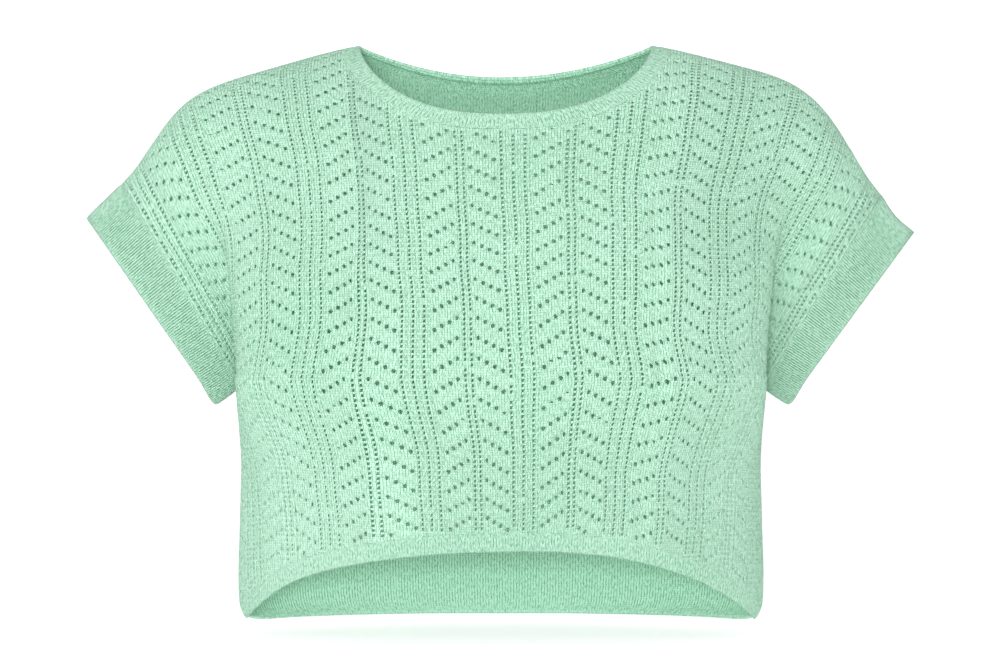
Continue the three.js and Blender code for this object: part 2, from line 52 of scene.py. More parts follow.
# ---- Front and back: the hang of the cloth ------------------------------------------------------
# The front and the back are each knitted in one piece with the sleeves grown on. Their wales run up
# over the body and turn out into the sleeves, with no seam at the armhole. This part works out how
# that cloth lies when the garment is filled: where each wale and each course passes.
SEAM_GAP = 0.02
SEAM_LAP = 0.4            # how far a band is knitted over the edge of its panel
BODY_LEVEL = 262          # armpit, below the neck points
HEM_LEVEL = 458           # lower edge at the side seams
CUFF_WALE = 300           # from the centre line to the cuff seam, as knitted
NECKBAND_SIDE = 14.2
NECKBAND_DROP = 12.4
NECK_DROP = {"front": 61.3, "back": 22}
NECK_CURVE = {"front": (2.4, 1.6), "back": (2.0, 1.05)}      # exponents of the neckline
HEM_ARCH = 60             # how far the front hem rises at the centre
HEM_ARCH_REACH = 204
HEM_SAG = {"front": ((0,), (0,)),
           "back": ((0, 140, 188, 198, 202), (4.6, 3.7, 3.3, 2, 0))}
# The arch is a little uneven: places across the body, and how much it rises there.
HEM_UNEVEN = ((-201, -165, -110, -50, 0, 40, 80, 110, 130, 170, 201),
              (-1, 0.6, 0.7, 0.9, 0, 2.2, 2.9, 1.4, -0.4, -3.4, -3))
HEM_BAND = {"front": 14.5, "back": 59}
# Sections of the body by level below the neck points, with depths from the plane of the seams.
BODY = {
    "level": (0, 120, 205, 262, 320, 380, 425, 445, 453, 459, 480),
    "half_width": (245, 234, 215, 208, 207, 208.5, 209.5, 208.8, 206.5, 202, 180),
    "front": (108, 108, 113, 109, 100, 88, 79, 76.2, 75, 74, 71),
    "back": (97, 100, 98, 95, 90, 82, 76, 74.2, 73.5, 73, 71),
    "squareness": (2.1, 2.1, 2.1, 2.1, 2.0, 1.9, 1.85, 1.83, 1.82, 1.82, 1.8),
}
# The armhole by course, from the shoulder seam (0) to the armpit (1): the edge of the body and its
# depth, how far the cloth tucks in there and over what depth, and how it turns into the sleeve.
ARMHOLE = {
    "course": (0, 0.1, 0.3, 0.5, 0.6, 0.7, 0.8, 0.9, 1),
    "edge": (242, 241, 238, 231, 224, 217, 213, 209.5, 207),
    "depth": (0, 13, 34, 46, 50, 51, 50, 47, 42),
    "tuck": (0, 0, 0, 0, 1, 3, 6, 8, 10),
    "over": (0, 0, 0, 1, 4, 9, 15, 23, 42),
    "turn": (0, 0, 0, 1, 4, 8, 9, 8, 0),
    "fold": (0, 0, 0, 0.08, 0.35, 0.7, 0.95, 1, 1),
}
TUCK_END = 345            # level where the pinch below the armpit has run out
RELAX_STEP = 4
RELAX_PASSES = 6
RELAX_FADE = 0.12
RELAX_FROM = 0.45
RELAX_FULL = 0.6
SLEEVES = [
    {"name": "right", "side": -1, "opening": 112, "dip": 0, "neck": 119,
     "slope": 0.29, "droop": 5.1e-5,
     "seam": ((303, -112), (209, -274)), "edge": ((331, -139), (229, -285))},
    {"name": "left", "side": 1, "opening": 119.5, "dip": 3, "neck": 127,
     "slope": 0.265, "droop": 8.7e-5,
     "seam": ((304, -121), (209, -274)), "edge": ((330, -150), (231, -285))},
]
SHOULDER_TIP = 200        # beyond this the shoulder line falls away more steeply
SHOULDER_EASE = 15
SLEEVE_DEPTH = 45
SLEEVE_CUP_OUT = 4.2
SLEEVE_CUP_DOWN = 2.8
FACING = {"front": -1, "back": 1}


def smooth_curve(at, values):
    """A smooth line through the values of a table, level where they turn."""
    at, values = np.asarray(at, float), np.asarray(values, float)
    chord = np.diff(values) / np.diff(at)
    before, after = chord[:-1], chord[1:]
    product = before * after
    total = np.where(product > 0, before + after, 1)
    inner = np.where(product > 0, 2 * product / total, 0)
    slope = np.concatenate([chord[:1], inner, chord[-1:]])

    def curve(x):
        x = np.clip(x, at[0], at[-1])
        i = np.clip(np.searchsorted(at, x, side="right") - 1, 0, len(at) - 2)
        h = at[i + 1] - at[i]
        t = (x - at[i]) / h
        s = 1 - t
        return (values[i] * (1 + 2 * t) * s * s + values[i + 1] * (3 - 2 * t) * t * t
                + h * (slope[i] * t * s * s - slope[i + 1] * s * t * t))

    return curve


body = {name: smooth_curve(BODY["level"], BODY[name]) for name in BODY if name != "level"}
armhole = {name: smooth_curve(ARMHOLE["course"], ARMHOLE[name])
           for name in ARMHOLE if name != "course"}


def shoulder_height(sleeve, x):
    run = (x - sleeve["neck"] + np.hypot(x - sleeve["neck"], SHOULDER_EASE)) / 2
    return -sleeve["slope"] * run - sleeve["droop"] * np.maximum(0, x - SHOULDER_TIP) ** 3


def crown(below):
    return (1 - (1 - np.minimum(below / 200, 1)) ** 2) ** 0.62


def drop(course):
    return np.where(course < 1, np.abs(course) ** 1.5, course)


def course_of(level):
    share = np.maximum(level, 0) / BODY_LEVEL
    return np.where(share < 1, share ** (1 / 1.5), share)


def body_section(half, course):
    """Measures of the body at a course: 0 is the shoulder seam and 1 the armpit."""
    level = drop(course) * BODY_LEVEL
    upper = course <= 1
    pinch = np.clip((TUCK_END - level) / (TUCK_END - BODY_LEVEL), 0, 1)
    ease = pinch * pinch * (3 - 2 * pinch)
    squareness = body["squareness"](level)
    fold = armhole["fold"](course)
    return {
        "width": np.where(upper, armhole["edge"](course), body["half_width"](level)),
        "depth": body[half](level) * np.where(upper, crown(level), 1),
        "edge_depth": np.where(upper, armhole["depth"](course), armhole["depth"](1) * ease),
        "tuck": np.where(upper, armhole["tuck"](course), armhole["tuck"](1) * ease),
        "over": np.where(upper, armhole["over"](course), armhole["depth"](1) * ease),
        "roundness": np.where(upper, 1.3 + (1 / squareness - 1.3) * fold, 1 / squareness),
        "squareness": squareness,
    }


def body_point(half, sleeve, course, across):
    s = body_section(half, course)
    x = s["width"] * across
    rise = np.where(course < 1, shoulder_height(sleeve, x) * (1 - drop(course)), 0)
    hollow = np.maximum(0, 1 - np.abs(across) ** s["squareness"]) ** s["roundness"]
    depth = s["edge_depth"] + (s["depth"] - s["edge_depth"]) * hollow
    y, z = FACING[half] * depth, rise - drop(course) * BODY_LEVEL
    return np.stack(np.broadcast_arrays(x, y, z), axis=-1)


def sleeve_ring(half, ends, around):
    bulge = np.sqrt(np.maximum(0, around * (1 - around))) * (2.5 - around)
    (top_x, top_z), (low_x, low_z) = ends
    return np.stack([top_x + (low_x - top_x) * around - SLEEVE_CUP_OUT * bulge,
                     FACING[half] * SLEEVE_DEPTH * bulge,
                     top_z + (low_z - top_z) * around + SLEEVE_CUP_DOWN * bulge], axis=-1)


def run_of(points):
    steps = np.linalg.norm(np.diff(points, axis=0), axis=1)
    return np.concatenate([[0], np.cumsum(steps)])


def point_at(points, run, target):
    return np.stack([np.interp(target, run, points[:, k]) for k in range(3)], axis=-1)


def relaxed(points, weight):
    """The same line in even steps, with its turns eased: knitting holds no sharp crease."""
    run = run_of(points)
    steps = int(np.floor(run[-1] / RELAX_STEP + 0.5))
    line = point_at(points, run, run[-1] * np.arange(steps + 1) / steps)
    share = np.clip((np.arange(steps + 1) / steps - RELAX_FROM) / (RELAX_FULL - RELAX_FROM), 0, 1)
    pull = (weight * share)[1:-1, None]
    for _ in range(RELAX_PASSES):
        between = (line[:-2] + line[2:]) / 2
        line[1:-1] = line[1:-1] * (1 - pull) + between * pull
    return line


def course_line(half, sleeve, course):
    """One course from the centre to the cuff seam, and its length up to the armhole's valley."""
    s = body_section(half, course)
    line = body_point(half, sleeve, course, np.sin(np.pi / 2 * np.arange(41) / 40))
    edge = line[-1]
    t = np.arange(1, 11) / 10
    inward = s["tuck"] * (1 - np.cos(np.pi * t)) / 2
    tuck = np.stack([edge[0] - inward, edge[1] - FACING[half] * s["over"] * t,
                     edge[2] + 0 * t], axis=-1)
    points = np.concatenate([line, tuck])
    valley = points[-1]
    valley_run = run_of(points)[-1]
    if course <= 1:
        end = sleeve_ring(half, sleeve["seam"], course ** 2)
        far = sleeve_ring(half, sleeve["edge"], course ** 2)
        reach = np.linalg.norm(valley - end)
        fold = armhole["fold"](course)
        end_pull = (far - end) / np.linalg.norm(far - end) * reach
        smooth = edge - line[-5]
        smooth = smooth / np.linalg.norm(smooth) * reach * (1 - fold)
        seamward = (end - valley) * fold * 0.5
        seamward[1] = -FACING[half] * armhole["turn"](course)
        start_pull = smooth + seamward
        if course == 1:
            start_pull[1] = 0
        t = (np.arange(1, 25) / 24)[:, None]
        r = 1 - t
        points = np.concatenate([points, valley * (1 + 2 * t) * r * r + start_pull * t * r * r
                                 + end * (3 - 2 * t) * t * t - end_pull * r * t * t])
    weight = np.clip((1 - course) / RELAX_FADE, 0, 1) / 2
    if weight > 0:
        points = relaxed(points, weight)
    return points, valley_run


def fan(share, course):
    """Towards the cuff the wales fan out a little, most of all along the shoulder."""
    spread = 0.1 * (1 - course) ** 2
    return share * (1 - spread) + spread * share ** 4


class Surface:
    """A sheet of points over two lengths of the cloth, with its outward directions."""

    def __init__(self, across, along, points, sign, smoothing=0, seam_row=None, seam_from=None):
        self.across, self.along, self.points = across, along, points
        d_across = np.gradient(points, axis=0)
        d_along = np.gradient(points, axis=1)
        if seam_row is not None:
            sleeve_part = np.abs(across) > seam_from
            row = points[:, seam_row + 1] - points[:, seam_row]
            d_along[sleeve_part, seam_row] = row[sleeve_part]
        normal = np.cross(d_across, d_along) * sign
        for _ in range(smoothing + 1):
            length = np.linalg.norm(normal, axis=2, keepdims=True)
            normal = normal / np.maximum(length, 1e-9)
            padded = np.pad(normal, ((1, 1), (1, 1), (0, 0)), mode="edge")
            if smoothing:
                normal = (normal * 2 + padded[:-2, 1:-1] + padded[2:, 1:-1]
                          + padded[1:-1, :-2] + padded[1:-1, 2:])
        self.normals = normal / np.maximum(np.linalg.norm(normal, axis=2, keepdims=True), 1e-9)

    def at(self, u, v):
        i = np.clip(np.searchsorted(self.across, u, side="right") - 1, 0, len(self.across) - 2)
        j = np.clip(np.searchsorted(self.along, v, side="right") - 1, 0, len(self.along) - 2)
        f = ((u - self.across[i]) / (self.across[i + 1] - self.across[i]))[:, None]
        g = ((v - self.along[j]) / (self.along[j + 1] - self.along[j]))[:, None]

        def blend(grid):
            low = grid[i, j] * (1 - g) + grid[i, j + 1] * g
            high = grid[i + 1, j] * (1 - g) + grid[i + 1, j + 1] * g
            return low * (1 - f) + high * f

        normal = blend(self.normals)
        return blend(self.points), normal / np.linalg.norm(normal, axis=1, keepdims=True)


def hem_level(half, x, raised):
    t = np.clip(np.abs(x) / HEM_ARCH_REACH, 0, 1)
    arch = HEM_ARCH * (1 - 0.42 * t ** 1.5 - 0.25 * t ** 4 - 0.33 * t ** 8)
    arch += np.interp(x, *HEM_UNEVEN)
    sag = np.interp(np.abs(x), *HEM_SAG[half])
    return HEM_LEVEL - (arch if half == "front" else 0) + sag - raised


def crossing(values, run):
    """Where a row of values first turns positive, by the length run."""
    found = np.argmax(values >= 0)
    if found == 0:
        return run[0]
    low, high = values[found - 1], values[found]
    return run[found - 1] + (run[found] - run[found - 1]) * low / (low - high)


def carried_on(points, run):
    """The same line carried straight on for a little at both ends."""
    first = points[0] + (points[0] - points[1]) / (run[1] - run[0]) * 4
    last = points[-1] + (points[-1] - points[-2]) / (run[-1] - run[-2]) * 4
    return (np.concatenate([[first], points, [last]]),
            np.concatenate([[run[0] - 4], run, [run[-1] + 4]]))


UPPER = np.sin(np.pi / 2 * np.arange(151) / 150)
LOWER = 1 + 0.84 * np.arange(1, 74) / 73
LENGTHS = np.arange(-212.0, 305.0)


def hang_cloth(half):
    """One half of the garment: where it lies by wale and by length from the armpit course, and its
    upper edge, its lower edge and the hem, as lengths by wale."""
    sides = []
    for sleeve in SLEEVES:
        armpit_line, armpit_run = course_line(half, sleeve, 1)
        armpit = CUFF_WALE * armpit_run / run_of(armpit_line)[-1]
        wales = np.concatenate([np.linspace(0, armpit, 190),
                                np.linspace(armpit, CUFF_WALE, 14)[1:]])
        net = []
        for course in np.concatenate([UPPER, LOWER]):
            line, valley_run = course_line(half, sleeve, float(course))
            run = run_of(line)
            if course <= 1:
                target = run[-1] * fan(wales / CUFF_WALE, course)
            else:
                target = valley_run * np.minimum(wales / armpit, 1)
            net.append(point_at(line, run, target))
        net = np.stack(net, axis=1)
        edges = {"wale": wales, "top": [], "low": [], "hem": []}
        corner = np.interp(sleeve["opening"] + NECKBAND_SIDE, net[:, 0, 0], wales)
        rows = np.empty((len(wales), len(LENGTHS), 3))
        for k in range(len(wales)):
            points = net[k] if wales[k] <= armpit else net[k, :len(UPPER)]
            run = run_of(points)
            lengths = run[len(UPPER) - 1] - run
            x, z = points[:, 0], points[:, 2]
            rows[k] = point_at(*carried_on(points[::-1], lengths[::-1]), LENGTHS)
            wide, deep = sleeve["opening"] + NECKBAND_SIDE, NECK_DROP[half] + NECKBAND_DROP
            across, down = NECK_CURVE[half]
            neck = deep * (1 - np.clip(x / wide, 0, 1) ** across) ** (1 / down)
            by_neck = x[0] < wide
            edges["top"].append(crossing(shoulder_height(sleeve, x) - z - neck, lengths)
                                if by_neck else lengths[0])
            for name, raised in (("low", HEM_BAND[half]), ("hem", 0)):
                over = -z - hem_level(half, x * sleeve["side"], raised)
                bare = wales[k] > armpit
                edges[name].append(0 if bare else crossing(over[len(UPPER):],
                                                           lengths[len(UPPER):]))
        inner = np.searchsorted(wales, armpit)
        side_step = rows[inner] - rows[inner - 1]
        seam_row = int(np.argmin(np.abs(LENGTHS)))
        for k in range(inner + 1, len(wales)):
            reach = (wales[k] - armpit) / (wales[inner] - wales[inner - 1])
            rows[k, :seam_row] = (rows[inner] + side_step * reach)[:seam_row]
        rows[:, :, 0] *= sleeve["side"]
        sides.append((rows, edges, corner))
    (right, right_edges, right_corner), (left, left_edges, left_corner) = sides
    joined = {name: np.concatenate([np.array(right_edges[name])[:0:-1] * (-1 if name == "wale" else 1),
                                    left_edges[name]]) for name in right_edges}
    points = np.concatenate([right[:0:-1], left])
    surface = Surface(joined["wale"], LENGTHS, points, -FACING[half], smoothing=3,
                      seam_row=seam_row, seam_from=armpit)
    return surface, joined, (armpit, right_corner, left_corner)


# ---- Front and back: the lace -------------------------------------------------------------------
# Pointelle lace in mint cotton: chevrons of eyelets that fall away from a double ladder to a group
# of three ladders. One repeat of the stitch is worked out flat, knitted on and on by the tree, and
# then laid on the hanging cloth. On the front the holes are cut right through; on the back they are
# closed into shallow pits.
LACE_WIDTH = 86.5
LACE_HEIGHT = 14.6
WALE_EDGES = (-1.7, 1.7, 3.6, 7.2, 9.8, 13.0, 16.1, 19.1, 22.3, 25.4, 28.6, 31.95, 33.85, 36.9,
              41.15, 43.05, 46.4, 50.25, 52.15, 55.2, 57.9, 61.1, 64.0, 67.2, 70.4, 73.5, 76.5,
              79.1, 82.9, 84.8)
HOLE_ROW = 2.2
BAR_ROW = 1.45
LADDERS = (1, 11, 14, 17, 28)
EYELETS = {3: 0, 5: 3, 7: 2, 9: 1, 20: 1, 22: 2, 24: 3, 26: 0}
GROOVES = {13: -0.25, 16: -0.4, 19: -0.25}
WAVE_TURNS = (8.5, 27, 59.5, 77.8)
WAVE_RISE = 2.45
CUFF_LADDERS = (3, 26)    # next to the cuffs a third ladder takes the place of these eyelets
EYELET_CLOSE = 0.62
EYELET_WIDEN = 0.15
EYELET_SHORTEN = 0.3
LADDER_LEAN = 0.35
LOOSE = 0.09              # how unevenly the stitches are drawn up
DRAWN_SHUT = ((120, 170, 205), (0, 0.14, 0.4))    # the holes draw in towards the side seams
HOLES_LOST = {"front": 0.03, "back": 0.12}        # the share of holes left out at random
LACE_THICKNESS = 1.5
LADDER_START = -27.5      # the double ladder nearest the centre
LACE_START = 97.7         # the foot of one of its eyelet pairs, above the armpit course
PATTERN_TURN = 146        # past this wale, on the left, the columns lie closer
PATTERN_STRETCH = 1.2
CORNER_REACH = 8          # columns this near a corner of the panel are shifted to meet it
CORNER_HOLD = 1.6
PIT_DEPTH = 0.9           # where eyelets are closed, a pit stands in for the hole
COURSE_STRETCH = ((-110, 0, 50, 94, 140, 165, 300), (1.03, 1.1, 1.035, 0.978, 1.05, 1.085, 1.0))
EDGE_MARGIN = 3.0
LEAN_LEVELS = (-110, -60, -30, 0, 35, 65, 96, 127, 160)
LEAN = (6.5, 5, 4, 2, 0, -1, -2, -4.5, -5.3)      # the front hangs a little askew: its wales lean
LEAN_SPREAD = (-0.055, -0.055, -0.03, -0.015, 0, 0, 0.01, 0.02, 0.02)
RISE = ((-90, 0, 38, 74, 110, 135), (0, 0, 3.6, 6.6, 6.4, 0))     # and its courses rise
RISE_BELOW = ((-110, 0, 35, 65, 96), (4.2, 3, 2.3, 1.5, 0.7))
LEAN_FADE = (80, 128)
YARN_SHADE = (0.22, 0.50, 0.32, 1)
YARN_LIGHT = (0.56, 0.86, 0.68, 1)
INSIDE_GLOW_SHADE = (0.24, 0.60, 0.36, 1)      # painted light: the inside, the purl side, is painted lighter and more saturated, for light that comes through the thin cloth and bounces inside
INSIDE_GLOW_LIGHT = (0.61, 1.0, 0.78, 1)
SLIT_LINES = (36.9, 46.4, 55.2)
PLAIN_FROM = 291.5        # next to the cuffs there are no chevrons


def knit_repeat():
    """The tree that repeats a stitch motif over columns and rows, as one welded sheet."""
    tree = bpy.data.node_groups.new("knit_repeat", "GeometryNodeTree")
    for name, kind in (("Geometry", "NodeSocketGeometry"), ("Columns", "NodeSocketInt"),
                       ("Rows", "NodeSocketInt"), ("Width", "NodeSocketFloat"),
                       ("Height", "NodeSocketFloat"), ("Weld", "NodeSocketFloat"),
                       ("Material", "NodeSocketMaterial")):
        tree.interface.new_socket(name=name, in_out="INPUT", socket_type=kind)
    tree.interface.new_socket(name="Geometry", in_out="OUTPUT", socket_type="NodeSocketGeometry")
    nodes, links = tree.nodes, tree.links
    given = nodes.new("NodeGroupInput").outputs
    grid = nodes.new("GeometryNodeMeshGrid")
    for axis, count, size in (("X", "Columns", "Width"), ("Y", "Rows", "Height")):
        gaps = nodes.new("ShaderNodeMath")
        gaps.operation = "SUBTRACT"
        links.new(given[count], gaps.inputs[0])
        gaps.inputs[1].default_value = 1
        span = nodes.new("ShaderNodeMath")
        span.operation = "MULTIPLY"
        links.new(gaps.outputs[0], span.inputs[0])
        links.new(given[size], span.inputs[1])
        links.new(span.outputs[0], grid.inputs["Size " + axis])
        links.new(given[count], grid.inputs["Vertices " + axis])
    repeat = nodes.new("GeometryNodeInstanceOnPoints")
    links.new(grid.outputs["Mesh"], repeat.inputs["Points"])
    links.new(given["Geometry"], repeat.inputs["Instance"])
    realize = nodes.new("GeometryNodeRealizeInstances")
    links.new(repeat.outputs["Instances"], realize.inputs["Geometry"])
    weld = nodes.new("GeometryNodeMergeByDistance")
    links.new(realize.outputs["Geometry"], weld.inputs["Geometry"])
    links.new(given["Weld"], weld.inputs["Distance"])
    finish = nodes.new("GeometryNodeSetMaterial")
    links.new(weld.outputs["Geometry"], finish.inputs["Geometry"])
    links.new(given["Material"], finish.inputs["Material"])
    links.new(finish.outputs["Geometry"], nodes.new("NodeGroupOutput").inputs[0])
    return tree


def new_piece(name, mesh):
    piece = bpy.data.objects.new(name, mesh)
    bpy.context.scene.collection.objects.link(piece)
    return piece


def with_tree(mesh, tree, **values):
    """The mesh that a tree of nodes makes of a flat mesh."""
    piece = new_piece("sample", mesh)
    modifier = piece.modifiers.new("nodes", "NODES")
    modifier.node_group = tree
    for item in tree.interface.items_tree:
        if item.in_out == "INPUT" and item.name in values:
            modifier[item.identifier] = values[item.name]
    evaluated = piece.evaluated_get(bpy.context.evaluated_depsgraph_get())
    made = bpy.data.meshes.new_from_object(evaluated)
    bpy.data.objects.remove(piece)
    return made


def stitch_motif(name, points, faces, **values):
    """A flat mesh of one stitch motif with the values it carries by point or by face."""
    mesh = bpy.data.meshes.new(name)
    mesh.from_pydata([tuple(p) for p in points], [], faces)
    for key, data in values.items():
        data = np.asarray(data, float)
        if data.ndim == 2:
            layer = mesh.attributes.new(key, "FLOAT_VECTOR", "POINT")
            layer.data.foreach_set("vector", data.ravel())
        else:
            layer = mesh.attributes.new(key, "FLOAT", "FACE")
            layer.data.foreach_set("value", data)
    return mesh


def read_knitting(mesh, vectors=(), values=()):
    points = np.empty(len(mesh.vertices) * 3)
    mesh.vertices.foreach_get("co", points)
    corners = np.empty(len(mesh.loops), int)
    mesh.loops.foreach_get("vertex_index", corners)
    found = [points.reshape(-1, 3), corners.reshape(-1, 4)]
    for key in vectors:
        data = np.empty(len(mesh.vertices) * 3)
        mesh.attributes[key].data.foreach_get("vector", data)
        found.append(data.reshape(-1, 3))
    for key in values:
        data = np.empty(len(mesh.polygons))
        mesh.attributes[key].data.foreach_get("value", data)
        found.append(data)
    return found


def lace_motif():
    edges = np.array(WALE_EDGES)
    rows = np.concatenate([(HOLE_ROW + BAR_ROW) * m + np.array([0, HOLE_ROW]) for m in range(4)]
                          + [np.array([LACE_HEIGHT])])
    shift = np.zeros((len(edges), 9, 3))
    for column, pair in EYELETS.items():
        wide = edges[column + 1] - edges[column]
        for side, towards in ((column, 1), (column + 1, -1)):
            low, middle, high = 2 * pair, 2 * pair + 1, 2 * pair + 2
            shift[side, low] = towards * wide * (1 - EYELET_CLOSE) / 2, EYELET_SHORTEN, 0.1
            shift[side, middle] = -towards * EYELET_WIDEN, 0, -0.1
            shift[side, high] = towards * wide * (1 - EYELET_CLOSE) / 2, -EYELET_SHORTEN, 0.1
            for row in (low, high):
                if row % 8 == 0:
                    shift[side, 8 - row] = shift[side, row]
    for column in LADDERS:
        for side in (column, column + 1):
            shift[side, :, 0] = [LADDER_LEAN * (1 if row % 2 else -1) for row in range(9)]
            shift[side, :, 2] = -0.15
    shift[0] = shift[29]
    for side, depth in GROOVES.items():
        shift[side, :, 2] = depth
    wave = np.interp(edges, WAVE_TURNS, (0, WAVE_RISE, WAVE_RISE, 0))
    home = np.stack([np.repeat(edges[:, None], 9, 1), rows[None] + wave[:, None],
                     np.zeros((len(edges), 9))], axis=-1)
    faces, holes = [], []
    for column in range(29):
        for row in range(8):
            corner = column * 9 + row
            faces.append((corner, corner + 9, corner + 10, corner + 1))
            eyelet = row // 2 == EYELETS.get(column, -1)
            slit = row % 2 == 0 and (1 if column in LADDERS else 4 * (column in CUFF_LADDERS))
            holes.append(2 + row % 2 if eyelet else int(slit))
    return stitch_motif("lace_motif", (home + shift).reshape(-1, 3), faces,
                        shift=shift.reshape(-1, 3), hole=holes)


def to_triangles(flat, quads):
    """Splits each four-sided stitch the way that keeps both halves open, and drops the closed."""
    def area(a, b, c):
        ab, ac = flat[b] - flat[a], flat[c] - flat[a]
        return (ab[:, 0] * ac[:, 1] - ab[:, 1] * ac[:, 0]) / 2

    a, b, c, d = quads.T
    one = np.minimum(area(a, b, c), area(a, c, d))
    two = np.minimum(area(a, b, d), area(b, c, d))
    first = (one >= two)[:, None]
    low = np.where(first, np.stack([a, b, c], 1), np.stack([a, b, d], 1))
    high = np.where(first, np.stack([a, c, d], 1), np.stack([b, c, d], 1))
    triangles = np.concatenate([low, high])
    return triangles[area(*triangles.T) > 1e-4]


def cloth_wall(name, outer, inner, flat, triangles, seam, ribbed, lining, material):
    """A closed wall of cloth: its outside, its inside, and the rims of all holes and edges. The
    rims along its seams are shaded flat, so that the cloth runs on smoothly into the next piece."""
    used, triangles = np.unique(triangles, return_inverse=True)
    triangles = triangles.reshape(-1, 3)
    ribbed = np.broadcast_to(ribbed, seam.shape)[used]
    outer, inner, flat, seam = outer[used], inner[used], flat[used], seam[used]
    count = len(outer)
    normals = np.cross(outer[triangles[:, 1]] - outer[triangles[:, 0]],
                       outer[triangles[:, 2]] - outer[triangles[:, 0]])
    outwards = (outer - inner)[triangles].sum(axis=1)
    turned = np.sum(normals * outwards) < 0
    edges = np.concatenate([triangles[:, [0, 1]], triangles[:, [1, 2]], triangles[:, [2, 0]]])
    forward = edges[:, 0] * count + edges[:, 1]
    backward = edges[:, 1] * count + edges[:, 0]
    start, end = edges[~np.isin(forward, backward)].T
    rims = np.concatenate([np.stack([end, start, start + count], 1),
                           np.stack([end, start + count, end + count], 1)])
    faces = np.concatenate([triangles, triangles[:, ::-1] + count, rims])
    smooth = np.ones(len(faces), bool)
    smooth[-len(rims):] = ~np.tile(seam[start] & seam[end], 2)

    aside = flat[end] - flat[start]
    aside = np.stack([aside[:, 1], -aside[:, 0]], 1)
    lean = np.zeros((count, 2))
    np.add.at(lean, start, aside)
    np.add.at(lean, end, aside)
    lean = lean / np.maximum(np.linalg.norm(lean, axis=1, keepdims=True), 1e-9) * 0.45
    low, high = flat.min(axis=0) - 2, flat.max(axis=0) + 2
    wide, tall = high - low
    scale = 0.98 / max(wide, 2 * tall)
    bake_outer = (flat - low) * scale + 0.01
    bake_inner = bake_outer + np.array([0, tall * scale])
    bake = np.concatenate([bake_outer, bake_inner])
    rim_bake = np.concatenate([bake_outer, bake_outer + lean * scale])
    stitch = np.concatenate([flat, flat]) / 1000
    if turned:
        faces = faces[:, ::-1]

    mesh = bpy.data.meshes.new(name)
    points = np.concatenate([outer, inner]) / 1000
    mesh.vertices.add(len(points))
    mesh.vertices.foreach_set("co", points.ravel())
    mesh.loops.add(faces.size)
    mesh.loops.foreach_set("vertex_index", faces.ravel())
    mesh.polygons.add(len(faces))
    mesh.polygons.foreach_set("loop_start", np.arange(len(faces)) * 3)
    mesh.polygons.foreach_set("use_smooth", smooth)
    mesh.update(calc_edges=True)
    mesh.uv_layers.new(name="stitches").uv.foreach_set("vector", stitch[faces].ravel())
    cloth_faces = len(triangles) * 2
    bake_uv = np.concatenate([bake[faces[:cloth_faces]], rim_bake[faces[cloth_faces:]]])
    mesh.uv_layers.new(name="OFBake").uv.foreach_set("vector", bake_uv.ravel())
    for key, values in (("ribbed", np.concatenate([ribbed, ribbed * lining])),
                        ("inside", np.repeat((0.0, 1.0), count))):
        layer = mesh.attributes.new(key, "FLOAT", "POINT")
        layer.data.foreach_set("value", values)
    mesh.materials.append(material)
    return new_piece(name, mesh)


class Field:
    """A number, a colour or a direction over a surface, worked out by the material's nodes."""

    def __init__(self, tree, socket):
        self.tree, self.socket = tree, socket

    def node(self, kind, settings=None, output=0, **inputs):
        made = self.tree.nodes.new(kind)
        for key, value in (settings or {}).items():
            if key == "stops":
                ramp = made.color_ramp.elements
                while len(ramp) < len(value):
                    ramp.new(0.5)
                for stop, (at, color) in zip(ramp, value):
                    stop.position, stop.color = at, color
            else:
                setattr(made, key, value)
        for key, value in inputs.items():
            place = int(key[1:]) if key[1:].isdigit() else key.replace("_", " ")
            if isinstance(value, Field):
                self.tree.links.new(value.socket, made.inputs[place])
            else:
                made.inputs[place].default_value = value
        return Field(self.tree, made.outputs[output])

    def math(self, operation, *values):
        named = {f"i{i}": value for i, value in enumerate(values)}
        return self.node("ShaderNodeMath", {"operation": operation}, **named)

    def __add__(self, other):
        return self.math("ADD", self, other)

    def __radd__(self, other):
        return self.math("ADD", other, self)

    def __sub__(self, other):
        return self.math("SUBTRACT", self, other)

    def __rsub__(self, other):
        return self.math("SUBTRACT", other, self)

    def __mul__(self, other):
        return self.math("MULTIPLY", self, other)

    def __rmul__(self, other):
        return self.math("MULTIPLY", other, self)

    def __truediv__(self, other):
        return self.math("DIVIDE", self, other)

    def fract(self):
        return self.math("FRACT", self)

    def absolute(self):
        return self.math("ABSOLUTE", self)

    def sine(self):
        return self.math("SINE", self)

    def cosine(self):
        return self.math("COSINE", self)

    def between(self, low, high):
        """0 below the low value, 1 above the high one, and smooth between them."""
        return self.node("ShaderNodeMapRange", {"interpolation_type": "SMOOTHSTEP"},
                         i0=self, i1=low, i2=high, i3=0.0, i4=1.0)

    def blend(self, low, high):
        """The low colour where this is 0 and the high one where it is 1."""
        return self.node("ShaderNodeMix", {"data_type": "RGBA"}, output=2, i0=self, i6=low, i7=high)


